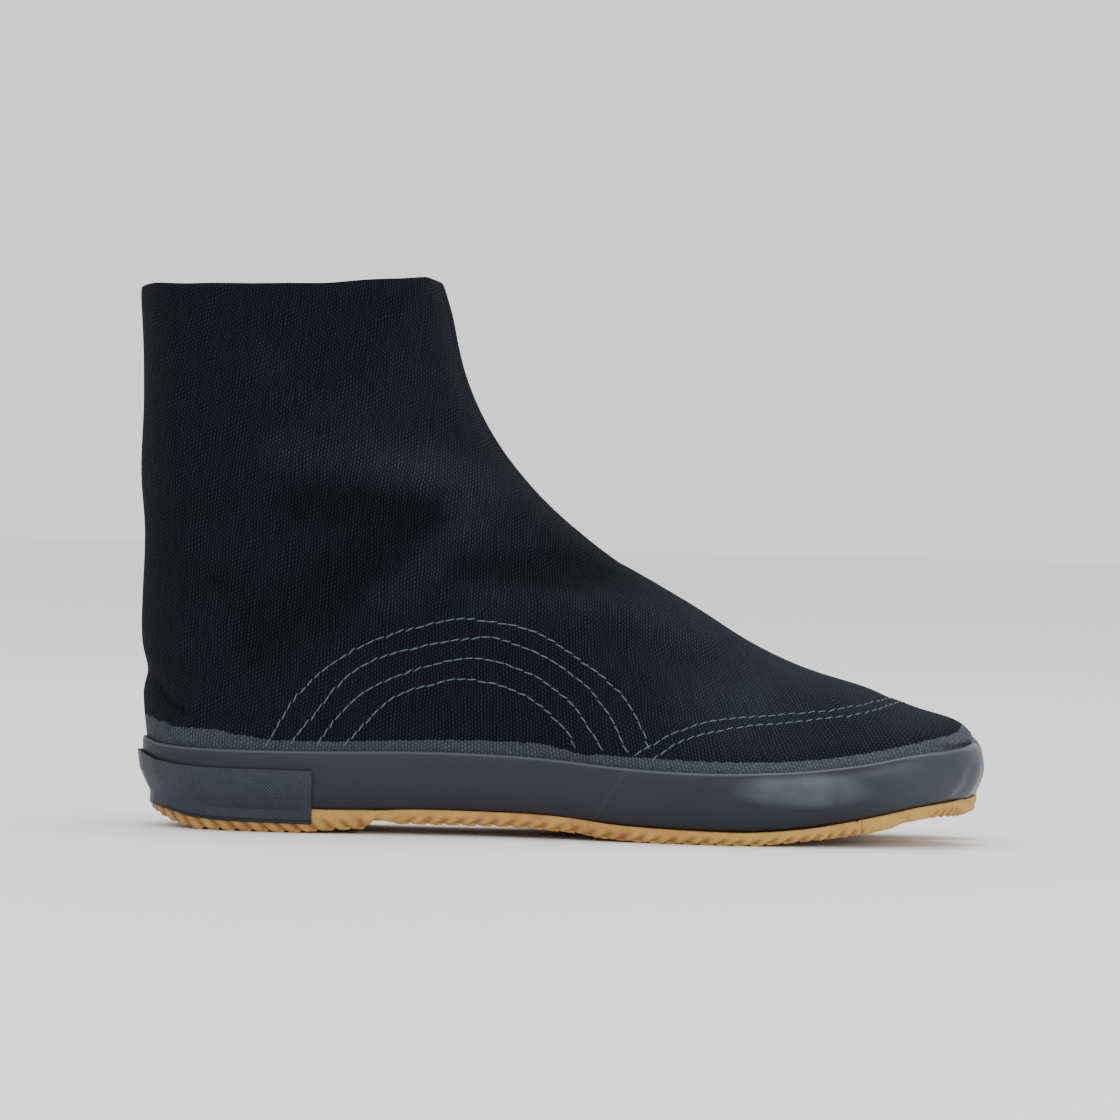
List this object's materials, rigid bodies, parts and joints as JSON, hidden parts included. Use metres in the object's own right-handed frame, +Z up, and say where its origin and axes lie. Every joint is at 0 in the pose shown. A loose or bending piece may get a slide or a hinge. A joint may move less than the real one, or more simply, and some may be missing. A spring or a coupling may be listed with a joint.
{
  "type": "jika tabi, right shoe",
  "caption": "Split-toe canvas ankle boot for the right foot, on a ribbed gum sole with a slate rubber foxing and heel strip.",
  "frame": {"origin": "centre of the bounding box in plan, on the floor under the sole", "axes": "+X towards the toes, +Y towards the inner side of the foot, +Z up"},
  "size_m": [0.2796, 0.0948, 0.1798],
  "materials": {
    "gum": "matte",
    "slate_rubber": "satin",
    "strip_rubber": "matte",
    "canvas": "matte",
    "footbed": "matte"
  },
  "bodies": {
    "root": {"outsole": "gum", "foxing": "slate_rubber", "heel_strip": "strip_rubber", "upper": "canvas", "insole": "footbed"}
  },
  "joints": []
}
